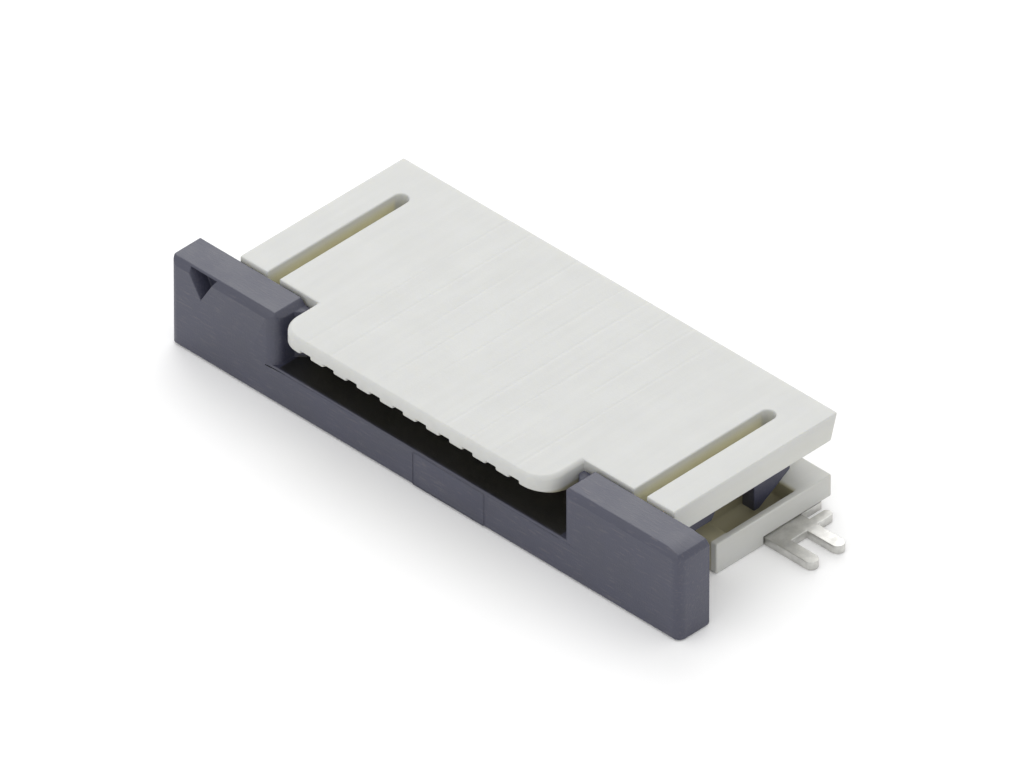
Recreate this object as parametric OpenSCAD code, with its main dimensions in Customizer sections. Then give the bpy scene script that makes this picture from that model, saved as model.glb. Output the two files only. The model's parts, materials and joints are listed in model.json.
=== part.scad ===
// Surface-mount connector for a flat flexible cable, locked by a slider.
// Millimetres. x runs along the row of circuits, y from the cable side to the rear,
// z up from the circuit board. The slider is shown pushed in.

/* [Circuits] */
// Number of circuits
circuits = 10; // [4:1:30]
// Distance from one circuit to the next
pitch = 0.5; // [0.5:0.05:0.8]
// Offset of the circuit row from the middle of the housing
row_x = -0.12; // [-0.2:0.01:0.2]

/* [Cable way] */
// Width of the cable
cable_w = 5.5; // [5.5:0.1:20]
// Clearance beside the cable and the slider's tongue, each side
cable_gap = 0.05; // [0.03:0.01:0.1]
// Height of the way between the tongue and the ribs of the roof
cable_h = 0.53; // [0.4:0.01:0.7]

/* [Housing] */
// Width over the end trays and the roof
housing_w = 9.37; // [9.3:0.01:11]
// Depth of the floor, front to rear
base_d = 3.46; // [3.3:0.01:4.2]
// Thickness of the floor
floor_t = 0.36; // [0.3:0.01:0.5]
// Thickness of the roof plate
roof_t = 0.47; // [0.4:0.01:0.6]
// How far the roof's top edge reaches past the floor at the rear
roof_over = 0.13; // [0.05:0.01:0.3]
// How far the roof's lower rear edge stands back from its top rear edge
roof_slant = 0.14; // [0:0.01:0.2]
// Thickness of the rear wall that holds the terminals
rear_wall_d = 0.72; // [0.5:0.01:1.0]

/* [Lip] */
// How far the lip reaches past the housing's front
lip_reach = 0.91; // [0.7:0.01:1.1]
// Wall of the lip beside the cable way
lip_wall = 0.08; // [0.05:0.01:0.12]
// Corner radius of the lip seen from above
lip_r = 0.45; // [0.2:0.01:0.6]
// Thickness of the lip at its front edge, under the ribs
lip_t = 0.25; // [0.2:0.01:0.35]
// Bevel round the top edge of the lip
lip_bevel = 0.05; // [0.02:0.01:0.08]
// Depth of the terminal grooves at the lip's front edge
lip_groove = 0.055; // [0.03:0.005:0.1]
// Distance of the grooves' full depth from the housing's front
lip_groove_l = 0.2; // [0.05:0.01:0.4]

/* [Roof slots] */
// Width of the two long slots
slot_w = 0.26; // [0.2:0.01:0.3]
// Length of the slots, from the housing's front to the round end
slot_l = 2.92; // [2:0.01:3.1]

/* [End trays] */
// Height of the end trays
tray_h = 0.57; // [0.5:0.01:0.7]
// Distance of the trays from the housing's front
tray_back = 0.93; // [0.6:0.01:1.1]
// Thickness of the tray's outer wall
tray_wall = 0.12; // [0.08:0.01:0.2]
// Thickness of the tray's front wall, which stops the hook
tray_stop = 0.34; // [0.2:0.01:0.4]
// Thickness of the pocket's floor
pocket_floor = 0.28; // [0.22:0.01:0.33]
// Length of the pocket
pocket_l = 1.47; // [1.3:0.01:1.6]
// Width of the pocket
pocket_w = 0.6; // [0.5:0.01:0.64]

/* [Slider] */
// Length of the slider
slider_w = 11.0; // [10.6:0.01:12]
// Thickness of the slider's bar, front to rear
bar_d = 0.68; // [0.5:0.01:0.8]
// Gap between the slider and the housing's front
slider_gap = 0.05; // [0.02:0.01:0.2]
// Height of the bar's underside above the board
slider_lift = 0.02; // [0.01:0.01:0.1]
// Height of the raised ends above the board
end_h = 1.645; // [1.5:0.005:1.8]
// Gap between the lip and each raised end
end_gap = 0.2; // [0.12:0.01:0.3]
// Radius of the outer front corners
corner_r = 0.16; // [0.05:0.01:0.3]
// Radius of the inner front corners of the raised ends
inner_r = 0.23; // [0.03:0.01:0.3]
// Bevel along the front top edge
front_bevel = 0.1; // [0.02:0.01:0.15]
// Bevel along the inner top edges of the raised ends
inner_bevel = 0.1; // [0.02:0.01:0.15]
// Length of the sloping strip on top of the right end
end_slope_l = 0.35; // [0.2:0.01:0.5]
// Drop of the sloping strip
end_slope_h = 0.03; // [0.01:0.01:0.1]
// Bevel along the outer top edge of the right end
outer_bevel = 0.08; // [0.02:0.01:0.15]
// Bevel along the bottom edges
bottom_bevel = 0.03; // [0.01:0.01:0.08]

/* [Slider tongue and guide ribs] */
// Thickness of the tongue
tongue_t = 0.3; // [0.2:0.01:0.3]
// Running gap between the housing's floor and the tongue
tongue_lift = 0.03; // [0.02:0.005:0.04]
// Reach of the tongue past the housing's front
tongue_l = 2.2; // [1.5:0.01:2.5]
// Length of the tapered tip of the tongue
tongue_taper = 0.5; // [0.2:0.01:0.8]
// Depth of the guide ribs behind the lip's sides, front to rear
guide_d = 0.25; // [0.1:0.01:0.35]
// Running gap between the guide ribs and the lip
guide_gap = 0.05; // [0.03:0.01:0.1]

/* [Slider arms] */
// How far the slider travels
travel = 0.8; // [0.5:0.01:0.85]
// Width of the arms
arm_w = 0.26; // [0.18:0.01:0.3]
// Gap between the arms and the housing's side walls
arm_side = 0.28; // [0.2:0.01:0.3]
// Gap between the arms and the outer walls of the trays
arm_out_gap = 0.195; // [0.05:0.005:0.25]
// Gap between the arms and the roof
arm_top_gap = 0.07; // [0.04:0.01:0.1]
// Height of the arms' thick root
root_h = 0.4; // [0.3:0.01:0.45]
// Length of the thick root behind the bar
root_l = 1.2; // [0.8:0.01:1.3]
// Length of the slope from the thick root to the thin neck
root_slope = 0.08; // [0.02:0.01:0.15]
// Height of the thin neck
neck_h = 0.27; // [0.2:0.01:0.3]
// Gap left between the hook and the tray's front wall at full travel
hook_stop = 0.01; // [0.005:0.005:0.02]
// Gap between the hook and the pocket's floor
hook_gap = 0.15; // [0.08:0.01:0.2]
// Length of the hook's flat underside
hook_flat = 0.11; // [0.05:0.01:0.2]
// Length of the hook, front to tip
hook_l = 0.79; // [0.6:0.01:0.85]
// Height of the hook's tip above its underside
hook_rise = 0.4; // [0.3:0.01:0.45]

/* [Circuit 1 mark and gate pad] */
// Width of the triangular recess that marks circuit 1
mark_w = 0.57; // [0.3:0.01:0.7]
// Height of the mark
mark_h = 0.47; // [0.3:0.01:0.6]
// Distance of the mark's top from the slider's top
mark_top = 0.03; // [0.01:0.01:0.15]
// Depth of the mark
mark_d = 0.3; // [0.05:0.01:0.35]
// Distance of the mark's middle from the slider's end
mark_in = 0.68; // [0.55:0.01:1]
// Width of the gate pad on the bar's front
pad_w = 1.53; // [0.5:0.01:2]
// Offset of the gate pad from the middle of the slider
pad_x = 0.56; // [0:0.01:1]
// Height of the gate pad's face over the bar's front
pad_t = 0.01; // [0.005:0.005:0.05]

/* [Terminals] */
// Sheet thickness of the terminals
term_t = 0.2; // [0.12:0.01:0.22]
// Clearance between a terminal and its cavity
term_gap = 0.01; // [0.005:0.005:0.02]
// Height of the cavity's floor above the board
cavity_z = 0.1; // [0.06:0.01:0.14]
// Depth of the grooves in the roof that the upper beams lie in
groove_d = 0.2; // [0.15:0.01:0.25]
// Height of the upper beam at its root
upper_root = 0.27; // [0.2:0.01:0.3]
// Height of the upper beam at its contact point
upper_tip = 0.17; // [0.1:0.01:0.2]
// Reach of the upper beam in front of the rear wall
upper_l = 2.45; // [1.8:0.01:2.6]
// Distance from the upper beam's tip back to its contact point
point_back = 0.28; // [0.2:0.01:0.5]
// Length of the contact point
point_l = 0.12; // [0.06:0.01:0.2]
// Length of the bend behind the contact point
bend_l = 0.4; // [0.2:0.01:0.6]
// Rise of the bend behind the contact point
bend_h = 0.1; // [0.02:0.01:0.15]
// Space left between the contact point and the tongue, less than the cable's thickness
grip = 0.17; // [0.1:0.01:0.25]
// Height of the lower beam
lower_h = 0.22; // [0.15:0.01:0.24]
// Reach of the lower beam in front of the rear wall
lower_l = 1.6; // [1:0.01:2]
// Length of the nose at the lower beam's tip
nose_l = 0.3; // [0.2:0.01:0.5]
// Height of the nose above the floor
nose_h = 0.02; // [0.01:0.005:0.025]
// Bevel at the front of the nose
nose_bevel = 0.06; // [0.02:0.01:0.09]
// Depth of the upright web that joins the two beams
web_d = 0.5; // [0.3:0.01:0.6]
// Depth of the round throat cut into the web
throat_d = 0.2; // [0.05:0.01:0.25]
// Depth of the foot that comes down to the board behind the floor
foot_d = 0.15; // [0.1:0.01:0.2]
// Height of the retention barbs
barb_h = 0.03; // [0.01:0.005:0.04]
// Length of each barb
barb_l = 0.15; // [0.05:0.01:0.18]
// Distance of the first barb from the front of the web
barb_in = 0.05; // [0:0.01:0.05]
// Distance from one barb to the next
barb_step = 0.2; // [0.2:0.01:0.22]
// Length of the solder tail past the housing's rear
tail_l = 0.72; // [0.5:0.01:0.9]
// Thickness of the solder tail
tail_t = 0.15; // [0.1:0.01:0.2]

/* [Fitting nails] */
// Sheet thickness of the nails
nail_t = 0.15; // [0.1:0.01:0.16]
// Width of each prong
prong_w = 0.24; // [0.18:0.01:0.3]
// Distance between the prongs, middle to middle
prong_step = 0.58; // [0.4:0.01:0.7]
// Reach of the prongs past the tray's side
prong_l = 1.0; // [0.6:0.01:1.2]
// Width of the cross bar outside the tray
nail_bar = 0.34; // [0.2:0.01:0.4]
// Width of the rear stub
stub_w = 0.18; // [0.12:0.01:0.25]
// Length of the rear stub
stub_l = 0.38; // [0.2:0.01:0.5]
// Height of the upright leg that holds the nail in the tray
leg_h = 0.46; // [0.35:0.01:0.5]
// Length of the upright leg, front to rear
leg_l = 0.46; // [0.3:0.01:0.5]
// Inner radius of the bend under the leg
bend_r = 0.06; // [0.03:0.01:0.08]
// Distance of the leg from the housing's side wall
nail_in = 0.15; // [0.1:0.01:0.2]
// Distance of the first prong from the pocket's front
nail_back = 0.72; // [0.6:0.01:0.8]
// Distance of the leg from the pocket's rear
leg_back = 0.06; // [0.05:0.01:0.1]
// Clearance between a nail and its seat
nail_gap = 0.01; // [0.005:0.005:0.02]

/* [Hidden] */
$fn = 48;
// Overlap that joins touching forms and lets cuts pass right through
eps = 0.02;

contact_names = [for (i = [1:circuits]) str("contact_", i < 10 ? "0" : "", i)];

// Planes from front to rear
front_y = -base_d / 2;
rear_y = base_d / 2;
bar_rear_y = front_y - slider_gap;
bar_front_y = bar_rear_y - bar_d;
lip_front_y = front_y - lip_reach;
rear_wall_y = rear_y - rear_wall_d;
tray_y = front_y + tray_back;
pocket_y = tray_y + tray_stop;
pocket_end_y = pocket_y + pocket_l;

// Levels above the board
tongue_top = floor_t + tongue_lift + tongue_t;
roof_z = tongue_top + cable_h;
top_z = roof_z + roof_t;
lip_z = top_z - lip_t;

// Widths
way_w = cable_w + 2 * cable_gap;
lip_w = way_w + 2 * lip_wall;
opening_w = lip_w + 2 * end_gap;
half_w = housing_w / 2;
half_slider = slider_w / 2;

// Places in x of the walls and arms at each end, measured from the middle
pocket_out_x = half_w - tray_wall;
pocket_in_x = pocket_out_x - pocket_w;
arm_out_x = pocket_out_x - arm_out_gap;
arm_in_x = arm_out_x - arm_w;
core_x = arm_in_x - arm_side;

// Heights of the slider's arms
arm_top = roof_z - arm_top_gap;
hook_z = pocket_floor + hook_gap;
hook_y = pocket_y + travel + hook_stop;

// Heights of the terminals
groove_z = roof_z + groove_d;
upper_top = groove_z - barb_h - term_gap;
foot_y = rear_y - foot_d;

function circuit_x(i) = row_x + (i - (circuits - 1) / 2) * pitch;

// Extrudes an outline drawn in y and z along x, from x0 to x1.
module along_x(x0, x1) {
    translate([x0, 0, 0])
        rotate([90, 0, 90])
            linear_extrude(x1 - x0) children();
}

// Extrudes an outline drawn in x and z along y, from y0 to y1.
module along_y(y0, y1) {
    translate([0, y1, 0])
        rotate([90, 0, 0])
            linear_extrude(y1 - y0) children();
}

// Extrudes an outline drawn in x and y upwards, from z0 to z1.
module along_z(z0, z1) {
    translate([0, 0, z0])
        linear_extrude(z1 - z0) children();
}

module box(x0, x1, y0, y1, z0, z1) {
    translate([x0, y0, z0]) cube([x1 - x0, y1 - y0, z1 - z0]);
}

// Repeats its children at both ends: as drawn on the right, mirrored on the left.
module both_ends() {
    children();
    mirror([1, 0, 0]) children();
}

// Rectangle whose two front corners have radii r0 (low x) and r1 (high x).
module front_rounded(x0, x1, y0, y1, r0, r1) {
    difference() {
        translate([x0, y0]) square([x1 - x0, y1 - y0]);
        translate([x0 - eps, y0 - eps]) square(r0 + eps);
        translate([x1 - r1, y0 - eps]) square(r1 + eps);
    }
    translate([x0 + r0, y0 + r0]) circle(r0);
    translate([x1 - r1, y0 + r1]) circle(r1);
}

// ---------------------------------------------------------------- housing

// Outline of the lip from above, drawn inwards by the amount given.
module lip_outline(inset) {
    front_rounded(row_x - lip_w / 2 + inset, row_x + lip_w / 2 - inset,
                  lip_front_y + inset, front_y + 2 * eps,
                  lip_r - inset, lip_r - inset);
}

// Lip with a bevelled top edge. Its underside rises to the front as a lead-in.
module lip() {
    intersection() {
        hull() {
            along_z(roof_z, top_z - lip_bevel) lip_outline(0);
            along_z(roof_z, top_z) lip_outline(lip_bevel);
        }
        along_x(-half_w, half_w)
            polygon([[lip_front_y - eps, lip_z], [front_y, roof_z], [front_y + 3 * eps, roof_z],
                     [front_y + 3 * eps, top_z], [lip_front_y - eps, top_z]]);
    }
}

// Roof plate. Its rear face slants under.
module roof() {
    along_x(-half_w, half_w)
        polygon([[front_y, roof_z], [rear_y + roof_over - roof_slant, roof_z],
                 [rear_y + roof_over, top_z], [front_y, top_z]]);
}

// One of the long slots that free the outer arms of the roof.
module roof_slot() {
    slot_end = front_y + slot_l - slot_w / 2;
    along_z(roof_z - eps, top_z + eps)
        union() {
            translate([core_x, front_y - eps]) square([slot_w, slot_end - front_y + eps]);
            translate([core_x + slot_w / 2, slot_end]) circle(slot_w / 2);
        }
}

// Core of the housing: floor, side walls and rear wall under the roof.
module core() {
    difference() {
        box(-core_x, core_x, front_y, rear_y, 0, roof_z + eps);
        box(row_x - way_w / 2, row_x + way_w / 2, front_y - eps, rear_wall_y, floor_t, roof_z + 2 * eps);
    }
}

// Tray at the right end, with the pocket that the slider's hook runs in.
module end_tray() {
    difference() {
        box(core_x - eps, half_w, tray_y, rear_y, 0, tray_h);
        box(pocket_in_x, pocket_out_x, pocket_y, pocket_end_y, pocket_floor, tray_h + eps);
        nail_seat();
    }
}

// Space in the right tray for the fitting nail and its upright leg.
module nail_seat() {
    box(nail_in_x - nail_gap, half_w + eps, nail_y - nail_gap, rear_y + eps, -eps, nail_t + nail_gap);
    box(nail_in_x - nail_gap, nail_in_x + nail_t + nail_gap,
        leg_y - nail_gap, leg_y + leg_l + nail_gap, -eps, leg_h + nail_gap);
    box(nail_in_x - nail_gap, nail_in_x + nail_t + bend_r,
        leg_y - nail_gap, leg_y + leg_l + nail_gap, -eps, nail_t + bend_r);
}

// Cavity of one terminal: a slot through the rear wall, a channel in the floor
// and a groove in the roof that runs out through the lip's front edge.
module cavity() {
    w = term_t / 2 + term_gap;
    along_x(-w, w)
        polygon([[rear_y + eps, -eps], [foot_y - term_gap, -eps], [foot_y - term_gap, cavity_z],
                 [rear_wall_y - lower_l - 2 * term_gap, cavity_z],
                 [rear_wall_y - lower_l - 2 * term_gap, floor_t + eps],
                 [rear_wall_y - term_gap, floor_t + eps], [rear_wall_y - term_gap, roof_z - eps],
                 [lip_front_y - eps, roof_z - eps], [lip_front_y - eps, lip_z + lip_groove],
                 [front_y - lip_groove_l, groove_z], [rear_y + eps, groove_z]]);
}

module housing() {
    color([0.89, 0.89, 0.87])
        difference() {
            union() {
                core();
                roof();
                lip();
                both_ends() end_tray();
            }
            both_ends() roof_slot();
            for (i = [0:circuits - 1])
                translate([circuit_x(i), 0, 0]) cavity();
        }
}

// ---------------------------------------------------------------- slider

// Section of the bar and raised ends across the slider, up to height h.
module bar_section(h, bevel) {
    polygon([[bar_front_y, slider_lift + bottom_bevel], [bar_front_y + bottom_bevel, slider_lift],
             [bar_rear_y - bottom_bevel, slider_lift], [bar_rear_y, slider_lift + bottom_bevel],
             [bar_rear_y, h], [bar_front_y + bevel, h], [bar_front_y, h - bevel]]);
}

// Bar that closes the cable way in front, with round outer corners.
module low_bar() {
    intersection() {
        along_x(-half_slider, half_slider) bar_section(tongue_top, bottom_bevel);
        along_z(0, end_h)
            front_rounded(-half_slider, half_slider, bar_front_y, bar_rear_y, corner_r, corner_r);
    }
}

// Raised end on the right, from x0 outwards. Its outer top edge is sharp, or slopes down and is bevelled.
module raised_end(x0, sloping) {
    outer_edge = sloping
        ? [[half_slider, end_h - end_slope_h - outer_bevel],
           [half_slider - outer_bevel, end_h - end_slope_h], [half_slider - end_slope_l, end_h]]
        : [[half_slider, end_h]];
    intersection() {
        along_x(x0, half_slider) bar_section(end_h, front_bevel);
        along_z(0, end_h)
            front_rounded(x0, half_slider, bar_front_y, bar_rear_y, inner_r, corner_r);
        along_y(bar_front_y, bar_rear_y)
            polygon(concat([[x0, 0], [half_slider, 0]], outer_edge,
                           [[x0 + inner_bevel, end_h], [x0, end_h - inner_bevel]]));
    }
}

// Rib behind the raised end's inner face that guides the slider along the lip.
module guide_rib(x0) {
    rib_x = x0 - end_gap + guide_gap;
    along_z(tongue_top - eps, end_h - front_bevel)
        polygon([[x0 + eps, bar_rear_y], [rib_x, bar_rear_y], [rib_x, bar_rear_y - guide_d / 2],
                 [x0, bar_rear_y - guide_d], [x0 + eps, bar_rear_y - guide_d]]);
}

// Tongue that slides in under the cable and presses it to the terminals.
module tongue() {
    tip_y = front_y + tongue_l;
    z0 = tongue_top - tongue_t;
    along_x(row_x - cable_w / 2, row_x + cable_w / 2)
        polygon([[bar_rear_y - eps, z0], [tip_y - tongue_taper, z0], [tip_y, z0 + tongue_t / 5],
                 [tip_y, z0 + tongue_t / 2], [tip_y - tongue_taper, tongue_top],
                 [bar_rear_y - eps, tongue_top]]);
}

// Arm at the right end: thick root, thin springy neck, and a hook that runs in the pocket.
module latch_arm() {
    root_y = bar_rear_y + root_l;
    along_x(arm_in_x, arm_out_x)
        polygon([[bar_rear_y - eps, arm_top - root_h], [root_y, arm_top - root_h],
                 [root_y + root_slope, arm_top - neck_h], [hook_y, arm_top - neck_h],
                 [hook_y, hook_z], [hook_y + hook_flat, hook_z],
                 [hook_y + hook_l, hook_z + hook_rise], [hook_y + hook_l, arm_top],
                 [bar_rear_y - eps, arm_top]]);
}

// Recess in the left raised end that marks circuit 1.
module circuit_mark() {
    z0 = end_h - mark_top;
    translate([mark_in - half_slider, 0, 0])
        along_y(bar_front_y - eps, bar_front_y + mark_d)
            polygon([[-mark_w / 2, z0], [mark_w / 2, z0], [0, z0 - mark_h]]);
}

// Slightly raised pad where the moulding gate was cut off.
module gate_pad() {
    box(pad_x - pad_w / 2, pad_x + pad_w / 2, bar_front_y - pad_t, bar_front_y + eps,
        slider_lift + bottom_bevel, tongue_top - bottom_bevel);
}

module slider() {
    right_x = row_x + opening_w / 2;
    left_x = opening_w / 2 - row_x;
    color([0.36, 0.37, 0.41])
        difference() {
            union() {
                low_bar();
                raised_end(right_x, true);
                guide_rib(right_x);
                mirror([1, 0, 0]) {
                    raised_end(left_x, false);
                    guide_rib(left_x);
                }
                tongue();
                both_ends() latch_arm();
                gate_pad();
            }
            circuit_mark();
        }
}

// ---------------------------------------------------------------- terminals

// Front of the web and underside of the terminal
web_y = rear_y - web_d;
low_z = cavity_z + term_gap;

// Upper beam: it slopes down to the contact point, and its tip turns up into the groove.
module upper_beam() {
    root_low = upper_top - upper_root;
    tip_y = rear_wall_y - upper_l;
    point_y = tip_y + point_back;
    point_z = tongue_top + grip;
    polygon([[web_y + eps, root_low], [point_y + bend_l, point_z + bend_h],
             [point_y + point_l / 2, point_z], [point_y - point_l / 2, point_z],
             [tip_y, roof_z], [tip_y, roof_z + upper_tip / 2], [point_y, point_z + upper_tip],
             [point_y + bend_l, point_z + bend_h + upper_tip], [web_y + eps, upper_top]]);
}

// Lower beam: its nose stands just out of the floor and carries the tongue.
module lower_beam() {
    tip_y = rear_wall_y - lower_l;
    nose_z = floor_t + nose_h;
    beam_z = low_z + lower_h;
    polygon([[web_y + eps, low_z], [tip_y, low_z], [tip_y, nose_z - nose_bevel],
             [tip_y + nose_bevel, nose_z], [tip_y + nose_l / 2, nose_z],
             [tip_y + nose_l, beam_z], [web_y + eps, beam_z]]);
}

// Web with the round throat between the beams.
module web() {
    throat_r = (upper_top - upper_root - low_z - lower_h) / 2 - eps / 2;
    difference() {
        translate([web_y, low_z]) square([web_d, upper_top - low_z]);
        translate([web_y + throat_d - throat_r, low_z + lower_h + throat_r]) circle(throat_r);
    }
}

// Barb that grips the roof of the cavity.
module barb(y) {
    translate([y, upper_top - eps])
        polygon([[0, 0], [barb_l, 0], [barb_l, barb_h + eps], [0, eps]]);
}

// Gives an outline the thickness of the terminal's sheet.
module sheet() {
    along_x(-term_t / 2, term_t / 2) children();
}

module contact(i) {
    color([0.78, 0.75, 0.68])
        translate([circuit_x(i), 0, 0])
            union() {
                sheet() web();
                sheet() upper_beam();
                sheet() lower_beam();
                for (y = [barb_in, barb_in + barb_step])
                    sheet() barb(web_y + y);
                sheet() translate([foot_y, 0]) square([foot_d, low_z + eps]);
                sheet() translate([foot_y, 0]) square([foot_d + tail_l, tail_t]);
            }
}

// ---------------------------------------------------------------- fitting nails

// Places of the right nail
nail_in_x = core_x + nail_in;
nail_bar_x = half_w + nail_bar;
nail_tip_x = half_w + prong_l;
nail_y = pocket_y + nail_back;
leg_y = pocket_end_y + leg_back;

// One prong with a round end.
module prong(y) {
    r = prong_w / 2;
    translate([half_w, y - r]) square([nail_tip_x - r - half_w, prong_w]);
    translate([nail_tip_x - r, y]) circle(r);
}

// Flat of the right nail from above.
module nail_flat() {
    first_y = nail_y + prong_w / 2;
    bar_end_y = first_y + prong_step + prong_w / 2;
    translate([nail_in_x + nail_t + bend_r, nail_y])
        square([nail_bar_x - nail_in_x - nail_t - bend_r, bar_end_y - nail_y]);
    translate([nail_in_x + nail_t + bend_r, nail_y])
        square([half_w - nail_gap - nail_in_x - nail_t - bend_r, leg_y + leg_l - nail_y]);
    prong(first_y);
    prong(first_y + prong_step);
    translate([nail_bar_x - stub_w, bar_end_y - eps]) square([stub_w, stub_l + eps - stub_w / 2]);
    translate([nail_bar_x - stub_w / 2, bar_end_y + stub_l - stub_w / 2]) circle(stub_w / 2);
}

// Section of the bend and the upright leg, drawn in x and z.
module nail_leg_section() {
    outer_r = nail_t + bend_r;
    translate([nail_in_x, 0])
        union() {
            intersection() {
                difference() {
                    translate([outer_r, outer_r]) circle(outer_r);
                    translate([outer_r, outer_r]) circle(bend_r);
                }
                square(outer_r);
            }
            translate([0, outer_r - eps / 2]) square([nail_t, leg_h - outer_r + eps / 2]);
            translate([outer_r - eps / 2, 0]) square([eps, nail_t]);
        }
}

module right_nail() {
    color([0.70, 0.70, 0.68]) {
        along_z(0, nail_t) nail_flat();
        along_y(leg_y, leg_y + leg_l) nail_leg_section();
    }
}

module fitting_nail_right() {
    right_nail();
}

module fitting_nail_left() {
    mirror([1, 0, 0]) right_nail();
}

// ---------------------------------------------------------------- the part

housing();
slider();
fitting_nail_left();
fitting_nail_right();
for (i = [0:circuits - 1])
    contact(i);
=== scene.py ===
"""Dresses a connector for flat flexible cables: softened edges, moulded and tinned finishes, a studio.

Lengths are in metres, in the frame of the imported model: x along the row of circuits,
y from the cable side to the rear, z up from the circuit board.
"""

import json
import math

import bmesh
import bpy
from bpy.props import FloatProperty, FloatVectorProperty, PointerProperty
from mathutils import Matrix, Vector

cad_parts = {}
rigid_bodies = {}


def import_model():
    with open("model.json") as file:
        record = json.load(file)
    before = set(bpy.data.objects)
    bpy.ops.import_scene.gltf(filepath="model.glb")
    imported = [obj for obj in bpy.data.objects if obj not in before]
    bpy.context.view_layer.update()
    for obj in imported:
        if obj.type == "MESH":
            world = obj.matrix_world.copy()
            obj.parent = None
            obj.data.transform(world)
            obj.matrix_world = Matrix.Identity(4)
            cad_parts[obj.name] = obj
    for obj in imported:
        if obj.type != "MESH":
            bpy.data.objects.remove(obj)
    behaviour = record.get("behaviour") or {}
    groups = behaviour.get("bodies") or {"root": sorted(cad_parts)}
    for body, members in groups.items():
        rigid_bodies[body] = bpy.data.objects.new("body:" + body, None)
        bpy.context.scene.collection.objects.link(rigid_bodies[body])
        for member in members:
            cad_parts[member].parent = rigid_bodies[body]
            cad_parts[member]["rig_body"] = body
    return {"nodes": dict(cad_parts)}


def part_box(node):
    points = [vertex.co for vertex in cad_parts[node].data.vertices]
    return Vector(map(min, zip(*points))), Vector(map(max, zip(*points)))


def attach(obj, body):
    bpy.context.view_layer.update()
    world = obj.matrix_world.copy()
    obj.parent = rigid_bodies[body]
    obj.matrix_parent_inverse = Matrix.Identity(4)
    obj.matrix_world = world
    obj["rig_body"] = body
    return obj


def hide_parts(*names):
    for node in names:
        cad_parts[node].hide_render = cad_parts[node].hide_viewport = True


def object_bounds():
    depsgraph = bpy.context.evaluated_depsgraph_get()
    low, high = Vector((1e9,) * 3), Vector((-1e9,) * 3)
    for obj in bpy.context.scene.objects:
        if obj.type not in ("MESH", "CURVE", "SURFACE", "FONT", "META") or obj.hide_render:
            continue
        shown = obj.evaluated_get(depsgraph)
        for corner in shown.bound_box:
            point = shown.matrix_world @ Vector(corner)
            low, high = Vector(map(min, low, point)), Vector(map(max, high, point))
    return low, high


bl_info = {
    "name": "Flat cable connector finishes",
    "version": (1, 0, 0),
    "blender": (4, 5, 0),
    "location": "3D View > Sidebar > Connector",
    "description": "Softens the edges of a flat cable connector and gives it moulded and tinned finishes",
    "category": "Object",
}

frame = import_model()
NODES = frame["nodes"]
CAD_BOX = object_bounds()
MM = 0.001
WELD = 0.0005 * MM
ROW_MARGIN = 0.55 * MM

CONTACTS = sorted(name for name in NODES if name.startswith("contact_"))
NAILS = ["fitting_nail_left", "fitting_nail_right"]


def middle_x(name):
    """Middle of a node along x."""
    low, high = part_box(name)
    return (low.x + high.x) / 2


ROW_START = middle_x(CONTACTS[0])
PITCH = middle_x(CONTACTS[1]) - ROW_START
ROOF_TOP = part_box("housing")[1].z


# ---------------------------------------------------------------- settings


def colour(description, default):
    """Colour property with the usual settings."""
    return FloatVectorProperty(
        name=description.split(":")[0],
        description=description,
        subtype="COLOR",
        size=3,
        min=0,
        max=1,
        default=default,
    )


def length(name, description, default):
    """Length property in metres."""
    return FloatProperty(
        name=name,
        description=description,
        default=default,
        min=0,
        precision=6,
        unit="LENGTH",
    )


def share(name, description, default):
    """Property from 0 to 1."""
    return FloatProperty(name=name, description=description, default=default, min=0, max=1)


class HousingSettings(bpy.types.PropertyGroup):
    """Finish of the ivory housing."""

    edge: length("Edge", "Width of the softened edges", 0.025 * MM)
    face: colour("Face colour: colour of the outer faces", (0.575, 0.58, 0.565))
    # Painted bounce light: the slots' walls get a lighter, warmer colour than the faces, standing in for
    # the light that bounces inside them.
    recess_light_and_shade: colour("Slot colour: warmer colour in the roof's slots", (0.84, 0.80, 0.54))
    # Painted shade: the pockets and the cable way get this darker colour in place of their shade.
    pocket: colour("Pocket colour: darker colour in the pockets and the cable way", (0.33, 0.30, 0.18))
    slots_in: length("Slot side", "Slots' inner walls, from the housing's sides", 0.87 * MM)
    pockets_out: length("Pocket side", "Pockets' outer walls, from the housing's sides", 0.10 * MM)
    pockets_end: length("Pocket end", "Ends of the pockets, from the housing's rear", 0.75 * MM)
    lip_height: length("Lip height", "Lip's lower edge, down from the roof's top", 0.25 * MM)
    slot_depth: length("Slot depth", "Where slots give way to pockets, down from the roof's top", 0.4 * MM)
    roughness: share("Roughness", "Roughness of the moulded faces", 0.42)
    grain: length("Grain", "Size of the skin's grain", 0.035 * MM)
    grain_relief: length("Grain relief", "Height of the grain", 0.0012 * MM)
    mottle: length("Mottle", "Size of the broad mottling", 0.9 * MM)
    flow: length("Flow lines", "Width of the flow lines", 0.16 * MM)
    flow_relief: length("Flow relief", "Height of the flow lines", 0.003 * MM)
    sink: length("Sink marks", "Depth of the sink marks over the terminal grooves", 0.004 * MM)
    sink_width: length("Sink width", "Half width of one sink mark", 0.05 * MM)


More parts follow.
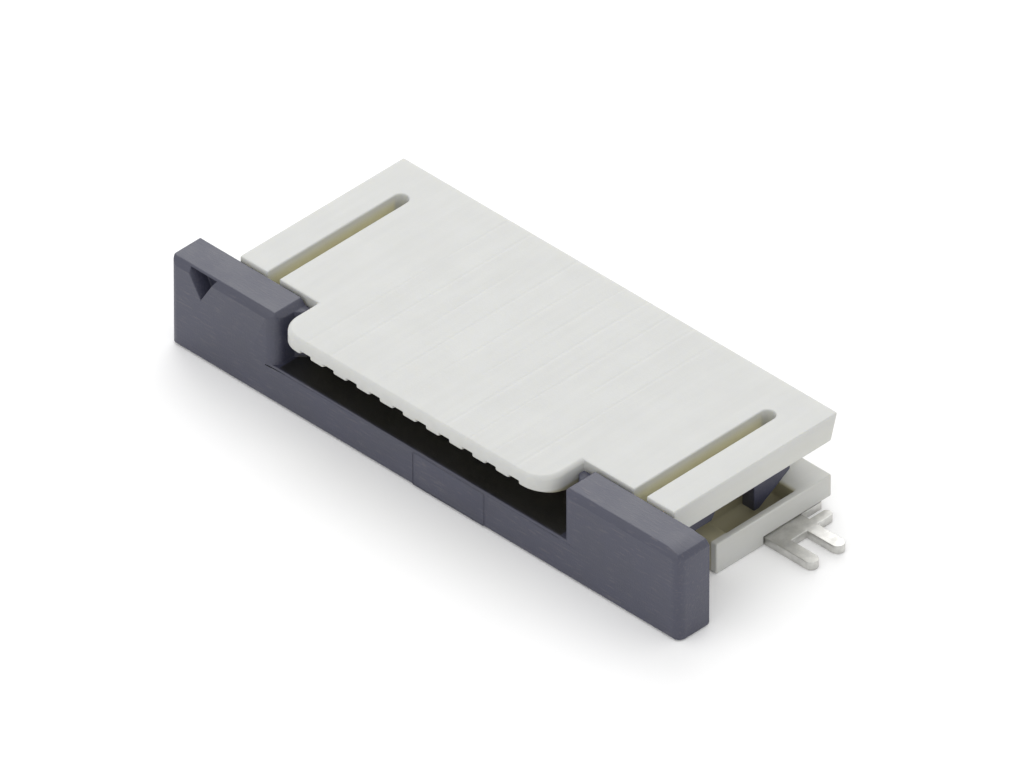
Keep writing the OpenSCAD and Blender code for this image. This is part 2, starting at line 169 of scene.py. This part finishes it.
class SliderSettings(bpy.types.PropertyGroup):
    """Finish of the dark slider."""

    edge: length("Edge", "Width of the softened edges", 0.014 * MM)
    face: colour("Face colour: colour of the dark plastic", (0.038, 0.040, 0.068))
    # Painted shadow: the bar and tongue under the lip get this near-black colour in place of their shadow.
    opening: colour("Opening colour: colour of the bar and tongue in the cable way", (0.010, 0.010, 0.010))
    opening_top: length("Opening top", "Distance of the tongue's top from the roof's top", 1.0 * MM)
    fibre: colour("Fibre colour: colour of the fibres near the surface", (0.11, 0.10, 0.11))
    roughness: share("Roughness", "Roughness of the dark plastic", 0.45)
    grain: length("Grain", "Size of the skin's grain", 0.03 * MM)
    grain_relief: length("Grain relief", "Height of the grain", 0.0035 * MM)
    mottle: length("Mottle", "Size of the broad haze", 0.7 * MM)
    fibre_width: length("Fibre width", "Width of the fibres", 0.035 * MM)
    fibre_relief: length("Fibre relief", "Height of the fibres", 0.003 * MM)


class MetalSettings(bpy.types.PropertyGroup):
    """Finish of the stamped metal pieces."""

    edge: length("Edge", "Width of the softened edges", 0.012 * MM)
    tin: colour("Tin colour: colour of the tin plating", (0.66, 0.655, 0.63))
    bronze: colour("Bronze colour: warmer tint of the terminals", (0.68, 0.62, 0.50))
    dull: share("Dull", "Brightness of the plating's duller clouds", 0.78)
    roughness: share("Roughness", "Roughness of the matte tin", 0.38)
    grain: length("Grain", "Size of the plating's grain", 0.02 * MM)
    grain_relief: length("Grain relief", "Height of the grain", 0.001 * MM)
    mottle: length("Mottle", "Size of the plating's clouds", 0.25 * MM)
    rolling: length("Rolling marks", "Width of the rolling marks", 0.018 * MM)
    rolling_relief: length("Rolling relief", "Height of the rolling marks", 0.0015 * MM)


class StageSettings(bpy.types.PropertyGroup):
    """Floor, lamps and camera."""

    azimuth: FloatProperty(
        name="Azimuth",
        description="Turn of the camera from the cable side towards the right end",
        default=math.radians(44.59),
        subtype="ANGLE",
    )
    elevation: FloatProperty(
        name="Elevation",
        description="Height of the camera over the board",
        default=math.radians(36.85),
        subtype="ANGLE",
    )
    distance: length("Distance", "Distance from the camera to the connector", 0.529)
    view_width: length("View width", "Width that the camera takes in at the connector", 15.754 * MM)
    aim: FloatVectorProperty(
        name="Aim",
        description="Point that the camera aims at, from the middle of the connector",
        default=(-0.091 * MM, -0.317 * MM, 0.086 * MM),
        subtype="TRANSLATION",
        precision=6,
    )
    sky: FloatProperty(name="Sky", description="Strength of the soft sky", default=0.95, min=0)
    key: FloatProperty(
        name="Key light",
        description="Light of the rear softbox on a face turned to it, where 1 shows a colour as written",
        default=0.32,
        min=0,
    )
    fill: FloatProperty(
        name="Fill light",
        description="Light of the front softbox on a face turned to it, where 1 shows a colour as written",
        default=0.08,
        min=0,
    )
    floor: colour("Floor colour: colour of the pale floor", (0.92, 0.92, 0.92))


# ---------------------------------------------------------------- shader helpers


class Graph:
    """Small helper that adds nodes to a node tree and links them by socket name."""

    def __init__(self, tree):
        self.tree = tree

    def node(self, kind, inputs=None, **settings):
        """Adds a node. An input may be a value or another node's output socket."""
        made = self.tree.nodes.new(kind)
        for name, value in settings.items():
            setattr(made, name, value)
        for name, value in (inputs or {}).items():
            self.feed(made.inputs[name], value)
        return made

    def feed(self, socket, value):
        """Links an output socket to an input, or sets the input's own value."""
        if isinstance(value, bpy.types.NodeSocket):
            self.tree.links.new(value, socket)
        elif socket.type == "RGBA" and len(value) == 3:
            socket.default_value = (*value, 1)
        else:
            socket.default_value = value

    def math(self, operation, first, second=0.0, third=0.0):
        """One Math node's result."""
        made = self.node("ShaderNodeMath", {0: first, 1: second, 2: third}, operation=operation)
        return made.outputs[0]

    def mix(self, factor, first, second):
        """Blend of two colours."""
        made = self.node("ShaderNodeMix", {"Factor": factor}, data_type="RGBA")
        self.feed(made.inputs[6], first)
        self.feed(made.inputs[7], second)
        return made.outputs[2]

    def spread(self, value, low, high, to_low=0.0, to_high=1.0):
        """Maps a value from one range to another, smoothly and within its limits."""
        made = self.node(
            "ShaderNodeMapRange",
            {0: value, 1: low, 2: high, 3: to_low, 4: to_high},
            interpolation_type="SMOOTHSTEP",
        )
        return made.outputs[0]


def new_group(name, inputs, outputs):
    """Empty node group. Inputs maps socket names to defaults, where None is a vector."""
    tree = bpy.data.node_groups.new(name, "ShaderNodeTree")
    for label, default in inputs.items():
        kind = "NodeSocketVector" if default is None else "NodeSocketFloat"
        socket = tree.interface.new_socket(label, in_out="INPUT", socket_type=kind)
        if default is not None:
            socket.default_value = default
    for label in outputs:
        tree.interface.new_socket(label, in_out="OUTPUT", socket_type="NodeSocketFloat")
    graph = Graph(tree)
    return tree, graph, graph.node("NodeGroupInput"), graph.node("NodeGroupOutput")


def grain_group():
    """Skin of a moulded plastic: fine grain, with broad mottling over it."""
    name = "Moulded grain"
    if name in bpy.data.node_groups:
        return bpy.data.node_groups[name]
    tree, graph, given, result = new_group(
        name, {"Vector": None, "Grain size": 0.05 * MM, "Mottle size": 1.0 * MM}, ["Grain", "Mottle"]
    )
    vector = given.outputs["Vector"]
    for label, size, detail in (("Grain", "Grain size", 3.0), ("Mottle", "Mottle size", 4.0)):
        scale = graph.math("DIVIDE", 1.0, given.outputs[size])
        noise = graph.node(
            "ShaderNodeTexNoise", {"Vector": vector, "Scale": scale, "Detail": detail, "Roughness": 0.6}
        )
        graph.feed(result.inputs[label], noise.outputs["Fac"])
    return tree


def streak_group():
    """Streaks that run one way, as flow lines in a moulding or rolling marks in sheet metal."""
    name = "Flow streaks"
    if name in bpy.data.node_groups:
        return bpy.data.node_groups[name]
    tree, graph, given, result = new_group(
        name, {"Vector": None, "Size": 0.1 * MM, "Stretch x": 1.0, "Stretch y": 1.0}, ["Streak"]
    )
    across = graph.node("ShaderNodeSeparateXYZ", {"Vector": given.outputs["Vector"]})
    x = graph.math("DIVIDE", across.outputs["X"], given.outputs["Stretch x"])
    y = graph.math("DIVIDE", across.outputs["Y"], given.outputs["Stretch y"])
    drawn = graph.node("ShaderNodeCombineXYZ", {"X": x, "Y": y, "Z": across.outputs["Z"]})
    scale = graph.math("DIVIDE", 1.0, given.outputs["Size"])
    noise = graph.node(
        "ShaderNodeTexNoise",
        {"Vector": drawn.outputs[0], "Scale": scale, "Detail": 3.0, "Roughness": 0.55},
    )
    graph.feed(result.inputs["Streak"], noise.outputs["Fac"])
    return tree


def use_group(graph, tree, **inputs):
    """Places a node group and feeds its inputs, named with underscores for spaces."""
    made = graph.node("ShaderNodeGroup", node_tree=tree)
    for name, value in inputs.items():
        graph.feed(made.inputs[name.replace("_", " ")], value)
    return made


def new_material(name):
    """Material with a Principled shader, and the graph that feeds it."""
    material = bpy.data.materials.new(name)
    material.use_nodes = True
    graph = Graph(material.node_tree)
    shader = material.node_tree.nodes["Principled BSDF"]
    coordinates = graph.node("ShaderNodeTexCoord").outputs["Object"]
    return material, graph, shader, coordinates


# ---------------------------------------------------------------- materials


def past(graph, value, edge, fade):
    """Is 0 up to an edge, and 1 from one fade past it."""
    return graph.spread(value, edge, edge + fade)


def before(graph, value, edge, fade):
    """Is 1 up to one fade before an edge, and 0 from the edge."""
    return graph.spread(value, edge, edge - fade)


def both(graph, *shares):
    """Product of several shares."""
    made = shares[0]
    for other in shares[1:]:
        made = graph.math("MULTIPLY", made, other)
    return made


def separate(graph, place):
    """The x, y and z of a place."""
    outputs = graph.node("ShaderNodeSeparateXYZ", {"Vector": place}).outputs
    return outputs["X"], outputs["Y"], outputs["Z"]


def over_row(graph, x):
    """Is 1 between the slider's raised ends, along the row of circuits, and 0 beyond them."""
    middle = ROW_START + PITCH * (len(CONTACTS) - 1) / 2
    reach = PITCH * len(CONTACTS) / 2 + ROW_MARGIN
    off = graph.math("ABSOLUTE", graph.math("SUBTRACT", x, middle))
    return before(graph, off, reach, 0.03 * MM)


def tinted(graph, base, value):
    """A colour made lighter or darker by a factor."""
    return graph.node("ShaderNodeHueSaturation", {"Color": base, "Value": value}).outputs[0]


def relief(graph, shader, *layers):
    """Feeds a bump made of layers, each a pattern and its full height."""
    height = 0.0
    for pattern, full in layers:
        height = graph.math("MULTIPLY_ADD", pattern, full, height)
    bump = graph.node("ShaderNodeBump", {"Strength": 1.0, "Distance": 1.0, "Height": height})
    graph.feed(shader.inputs["Normal"], bump.outputs["Normal"])


def sink_marks(graph, settings, x, z, streak):
    """Broken sink marks on the roof's top, along the terminal grooves under it."""
    steps = graph.math("DIVIDE", graph.math("SUBTRACT", x, ROW_START), PITCH)
    from_groove = graph.math("MULTIPLY", graph.math("PINGPONG", steps, 0.5), PITCH)
    in_row = graph.math("COMPARE", steps, (len(CONTACTS) - 1) / 2, len(CONTACTS) / 2)
    on_top = graph.math("GREATER_THAN", z, ROOF_TOP - 0.01 * MM)
    over_groove = before(graph, from_groove, settings.sink_width, settings.sink_width)
    return both(graph, over_groove, in_row, on_top, graph.spread(streak, 0.35, 0.6))


def painted_recess_shading(graph, settings, x, y, z):
    """Strength and colour of the painted light and shade in the recesses: painted warm bounce light in the
    slots, painted shade in the pockets and the cable way, and a faint share of it on every face more than
    a quarter millimetre below the roof's top.
    """
    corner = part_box("housing")[1]
    from_side = graph.math("SUBTRACT", corner.x, graph.math("ABSOLUTE", x))
    at_ends = both(
        graph,
        before(graph, from_side, settings.slots_in, 0.02 * MM),
        past(graph, from_side, settings.pockets_out, 0.03 * MM),
    )
    row = over_row(graph, x)
    shaded_cable_way = both(graph, before(graph, z, ROOF_TOP - settings.lip_height, 0.08 * MM), row)
    painted_recess_mask = both(
        graph,
        graph.math("MAXIMUM", at_ends, shaded_cable_way),
        before(graph, y, corner.y - settings.pockets_end, 0.1 * MM),
        past(graph, z, 0.01 * MM, 0.02 * MM),
    )
    # Painted light and shade: strong in the recesses, with a faint share on every face well below the
    # roof's top.
    strength = graph.math("MULTIPLY_ADD", painted_recess_mask, 0.8, 0.08)
    strength = both(graph, before(graph, z, ROOF_TOP - 0.02 * MM, 0.23 * MM), strength)
    # Painted shade low down and in the cable way, painted bounce light higher up in the slots.
    low = graph.math("MAXIMUM", before(graph, z, ROOF_TOP - settings.slot_depth, 0.2 * MM), row)
    return strength, graph.mix(low, settings.recess_light_and_shade, settings.pocket)


def ivory_nylon(settings):
    """Ivory nylon: faint mottling and flow lines, painted warm bounce light in the slots, painted shade in
    the pockets and the cable way, sink marks over the grooves.
    """
    material, graph, shader, place = new_material("Ivory nylon")
    grain = use_group(
        graph, grain_group(), Vector=place, Grain_size=settings.grain, Mottle_size=settings.mottle
    ).outputs
    streak = use_group(
        graph, streak_group(), Vector=place, Size=settings.flow, Stretch_x=1.0, Stretch_y=14.0
    ).outputs["Streak"]
    x, y, z = separate(graph, place)

    tone = graph.math(
        "ADD",
        graph.spread(grain["Mottle"], 0.25, 0.75, -0.02, 0.02),
        graph.spread(streak, 0.3, 0.7, -0.015, 0.015),
    )
    face = tinted(graph, settings.face, graph.math("ADD", 1.0, tone))
    strength, recess_light_and_shade = painted_recess_shading(graph, settings, x, y, z)
    # The faces are mixed with the painted light and shade of the recesses.
    graph.feed(shader.inputs["Base Color"], graph.mix(strength, face, recess_light_and_shade))
    rough = graph.spread(grain["Grain"], 0.3, 0.7, settings.roughness - 0.05, settings.roughness + 0.07)
    graph.feed(shader.inputs["Roughness"], rough)
    relief(
        graph,
        shader,
        (grain["Grain"], settings.grain_relief),
        (streak, settings.flow_relief),
        (sink_marks(graph, settings, x, z, streak), -settings.sink),
    )
    shader.inputs["IOR"].default_value = 1.5
    shader.inputs["Specular IOR Level"].default_value = 0.35
    shader.inputs["Subsurface Weight"].default_value = 0.12
    shader.inputs["Subsurface Radius"].default_value = (1.0, 0.9, 0.5)
    shader.inputs["Subsurface Scale"].default_value = 0.25 * MM
    return material


def dark_plastic(settings):
    """Dark glass-filled plastic: fine grain, faint fibres, a broad haze, and a painted shadow that makes
    it near black in the cable way.
    """
    material, graph, shader, place = new_material("Dark plastic")
    grain = use_group(
        graph, grain_group(), Vector=place, Grain_size=settings.grain, Mottle_size=settings.mottle
    ).outputs
    fibres = use_group(
        graph, streak_group(), Vector=place, Size=settings.fibre_width, Stretch_x=7.0, Stretch_y=1.0
    ).outputs["Streak"]
    x, y, z = separate(graph, place)

    body = tinted(graph, settings.face, graph.spread(grain["Mottle"], 0.25, 0.75, 0.9, 1.12))
    show = both(
        graph,
        graph.spread(fibres, 0.52, 0.74),
        graph.spread(grain["Mottle"], 0.3, 0.7, 0.15, 0.5),
    )
    # Painted shadow: near black on the bar and tongue in the cable way, under the lip.
    shaded_cable_way = both(
        graph,
        past(graph, y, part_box("slider")[0].y + 0.03 * MM, 0.07 * MM),
        before(graph, z, ROOF_TOP - settings.opening_top + 0.04 * MM, 0.02 * MM),
        over_row(graph, x),
    )
    outer = graph.mix(show, body, settings.fibre)
    graph.feed(shader.inputs["Base Color"], graph.mix(shaded_cable_way, outer, settings.opening))
    rough = graph.spread(grain["Mottle"], 0.25, 0.75, settings.roughness - 0.06, settings.roughness + 0.06)
    graph.feed(shader.inputs["Roughness"], rough)
    relief(graph, shader, (grain["Grain"], settings.grain_relief), (fibres, settings.fibre_relief))
    shader.inputs["IOR"].default_value = 1.64
    return material


def tinned_metal(name, tint, settings):
    """Matte tin over stamped metal: rolling marks along the sheet and cloudy plating."""
    material, graph, shader, place = new_material(name)
    grain = use_group(
        graph, grain_group(), Vector=place, Grain_size=settings.grain, Mottle_size=settings.mottle
    ).outputs
    rolling = use_group(
        graph, streak_group(), Vector=place, Size=settings.rolling, Stretch_x=1.0, Stretch_y=12.0
    ).outputs["Streak"]
    cloud = graph.spread(grain["Mottle"], 0.3, 0.7)
    dull = tuple(settings.dull * part for part in tint)
    graph.feed(shader.inputs["Base Color"], graph.mix(cloud, dull, tint))
    rough = graph.spread(rolling, 0.3, 0.7, settings.roughness - 0.08, settings.roughness + 0.1)
    graph.feed(shader.inputs["Roughness"], rough)
    relief(graph, shader, (rolling, settings.rolling_relief), (grain["Grain"], settings.grain_relief))
    shader.inputs["Metallic"].default_value = 1.0
    return material


# ---------------------------------------------------------------- pieces


def whole_faces(node):
    """Mesh of a CAD node with its triangles joined and its flat faces made whole.

    The imported normals belong to the triangles, so they are dropped.
    """
    mesh = NODES[node].data.copy()
    for stale in ("custom_normal", "sharp_edge", "sharp_face"):
        if stale in mesh.attributes:
            mesh.attributes.remove(mesh.attributes[stale])
    built = bmesh.new()
    built.from_mesh(mesh)
    bmesh.ops.remove_doubles(built, verts=built.verts, dist=WELD)
    bmesh.ops.dissolve_limit(built, angle_limit=math.radians(1), verts=built.verts, edges=built.edges)
    built.to_mesh(mesh)
    built.free()
    return mesh


def softened(node, name, material, edge):
    """Copy of a CAD node with narrow round edges, which is shown in the node's place."""
    piece = bpy.data.objects.new(name, whole_faces(node))
    bpy.context.scene.collection.objects.link(piece)
    bevel = piece.modifiers.new("Soft edges", "BEVEL")
    bevel.width = edge
    bevel.segments = 2
    bevel.limit_method = "ANGLE"
    bevel.angle_limit = math.radians(28)
    bevel.use_clamp_overlap = False
    flat = piece.modifiers.new("Flat faces", "WEIGHTED_NORMAL")
    flat.weight = 100
    piece.data.shade_smooth()
    piece.data.materials.clear()
    piece.data.materials.append(material)
    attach(piece, NODES[node]["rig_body"])
    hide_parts(node)
    return piece


class CONNECTOR_OT_housing(bpy.types.Operator):
    """Softens the edges of the housing and gives it ivory nylon."""

    bl_idname = "connector.housing"
    bl_label = "Housing"

    def execute(self, context):
        settings = context.scene.connector_housing
        softened("housing", "housing_moulding", ivory_nylon(settings), settings.edge)
        return {"FINISHED"}


class CONNECTOR_OT_slider(bpy.types.Operator):
    """Softens the edges of the slider and gives it dark plastic."""

    bl_idname = "connector.slider"
    bl_label = "Slider"

    def execute(self, context):
        settings = context.scene.connector_slider
        softened("slider", "slider_moulding", dark_plastic(settings), settings.edge)
        return {"FINISHED"}


class CONNECTOR_OT_terminals(bpy.types.Operator):
    """Softens the stamped edges of the terminals and gives them tinned bronze."""

    bl_idname = "connector.terminals"
    bl_label = "Terminals"

    def execute(self, context):
        settings = context.scene.connector_metal
        material = tinned_metal("Tinned bronze", settings.bronze, settings)
        for node in CONTACTS:
            softened(node, node.replace("contact", "terminal"), material, settings.edge)
        return {"FINISHED"}


class CONNECTOR_OT_nails(bpy.types.Operator):
    """Softens the stamped edges of the fitting nails and gives them tin."""

    bl_idname = "connector.nails"
    bl_label = "Fitting nails"

    def execute(self, context):
        settings = context.scene.connector_metal
        material = tinned_metal("Tinned brass", settings.tin, settings)
        for node in NAILS:
            softened(node, node.replace("fitting_nail", "solder_nail"), material, settings.edge)
        return {"FINISHED"}


# ---------------------------------------------------------------- stage


def towards(azimuth, elevation):
    """Unit vector that points from the connector to something at that azimuth and elevation."""
    flat = math.cos(elevation)
    return Vector((math.sin(azimuth) * flat, -math.cos(azimuth) * flat, math.sin(elevation)))


def aimed(obj, place, target):
    """Puts a lamp or camera at a place and turns it to a target."""
    obj.location = place
    obj.rotation_euler = (target - place).to_track_quat("-Z", "Y").to_euler()
    bpy.context.scene.collection.objects.link(obj)


def softbox(name, azimuth, elevation, size, level, target, distance=0.12):
    """Square area lamp at angles in degrees. At level 1 a diffuse face turned to it shows its colour."""
    lamp = bpy.data.lights.new(name, "AREA")
    lamp.shape = "SQUARE"
    lamp.size = size
    lamp.energy = level * (math.pi * distance) ** 2
    place = target + distance * towards(math.radians(azimuth), math.radians(elevation))
    aimed(bpy.data.objects.new(name, lamp), place, target)


def seen_white(graph, shaded, strength):
    """Adds light that only the camera, gloss and glass see, so that the background turns white."""
    path = graph.node("ShaderNodeLightPath")
    seen = graph.math("MAXIMUM", path.outputs["Is Camera Ray"], path.outputs["Is Glossy Ray"])
    seen = graph.math("MAXIMUM", seen, path.outputs["Is Transmission Ray"])
    glow = graph.node("ShaderNodeEmission", {"Strength": graph.math("MULTIPLY", seen, strength)})
    return graph.node("ShaderNodeAddShader", {0: shaded, 1: glow.outputs[0]}).outputs[0]


def pale_floor(settings):
    """Floor of matte white card that turns fully white away from the connector's shadow."""
    material = bpy.data.materials.new("Floor card")
    material.use_nodes = True
    material.node_tree.nodes.clear()
    graph = Graph(material.node_tree)
    card = graph.node("ShaderNodeBsdfDiffuse", {"Color": settings.floor})
    output = graph.node("ShaderNodeOutputMaterial")
    graph.feed(output.inputs["Surface"], seen_white(graph, card.outputs[0], strength=0.1))
    return material


class CONNECTOR_OT_stage(bpy.types.Operator):
    """Sets up the pale floor, the soft lamps and the camera."""

    bl_idname = "connector.stage"
    bl_label = "Stage"

    def execute(self, context):
        settings = context.scene.connector_stage
        scene = context.scene
        low, high = (Vector(corner) for corner in CAD_BOX)
        middle = (low + high) / 2

        half = 0.5
        floor_z = low.z - 0.004 * MM
        corners = [(-half, -half), (half, -half), (half, half), (-half, half)]
        mesh = bpy.data.meshes.new("floor")
        mesh.from_pydata([(x, y, floor_z) for x, y in corners], [], [(0, 1, 2, 3)])
        mesh.materials.append(pale_floor(settings))
        floor = bpy.data.objects.new("floor", mesh)
        scene.collection.objects.link(floor)

        world = bpy.data.worlds.new("studio")
        world.use_nodes = True
        graph = Graph(world.node_tree)
        sky = world.node_tree.nodes["Background"]
        sky.inputs["Color"].default_value = (1, 1, 1, 1)
        path = graph.node("ShaderNodeLightPath")
        strength = graph.node(
            "ShaderNodeMix", {0: path.outputs["Is Camera Ray"], 2: settings.sky, 3: 1.0}
        )
        graph.feed(sky.inputs["Strength"], strength.outputs[0])
        scene.world = world

        softbox("rear_softbox", azimuth=-135, elevation=37.5, size=0.09, level=settings.key, target=middle)
        softbox("front_softbox", azimuth=-25, elevation=50, size=0.07, level=settings.fill, target=middle)

        camera = bpy.data.cameras.new("camera")
        camera.sensor_width = 36
        camera.lens = 36 * settings.distance / settings.view_width
        camera.clip_start = 0.01
        camera.clip_end = 5
        eye = bpy.data.objects.new("camera", camera)
        target = middle + Vector(settings.aim)
        aimed(eye, target + settings.distance * towards(settings.azimuth, settings.elevation), target)
        scene.camera = eye
        scene.view_settings.view_transform = "Standard"
        return {"FINISHED"}


class CONNECTOR_PT_panel(bpy.types.Panel):
    """Sidebar panel with the connector's pieces."""

    bl_idname = "CONNECTOR_PT_panel"
    bl_label = "Connector"
    bl_space_type = "VIEW_3D"
    bl_region_type = "UI"
    bl_category = "Connector"

    def draw(self, context):
        for operator in OPERATORS:
            self.layout.operator(operator.bl_idname)


SETTINGS = {
    "connector_housing": HousingSettings,
    "connector_slider": SliderSettings,
    "connector_metal": MetalSettings,
    "connector_stage": StageSettings,
}
OPERATORS = (
    CONNECTOR_OT_stage,
    CONNECTOR_OT_housing,
    CONNECTOR_OT_slider,
    CONNECTOR_OT_terminals,
    CONNECTOR_OT_nails,
)


def register():
    """Registers the classes and hangs the settings on the scene."""
    for cls in (*SETTINGS.values(), *OPERATORS, CONNECTOR_PT_panel):
        bpy.utils.register_class(cls)
    for name, cls in SETTINGS.items():
        setattr(bpy.types.Scene, name, PointerProperty(type=cls))


def unregister():
    """Takes the settings off the scene and the classes out again."""
    for name in SETTINGS:
        delattr(bpy.types.Scene, name)
    for cls in (CONNECTOR_PT_panel, *reversed(OPERATORS), *SETTINGS.values()):
        bpy.utils.unregister_class(cls)


def main():
    """Makes every piece and the stage."""
    register()
    bpy.ops.connector.stage()
    bpy.ops.connector.housing()
    bpy.ops.connector.slider()
    bpy.ops.connector.terminals()
    bpy.ops.connector.nails()
    bpy.context.view_layer.update()


if __name__ == "__main__":
    main()
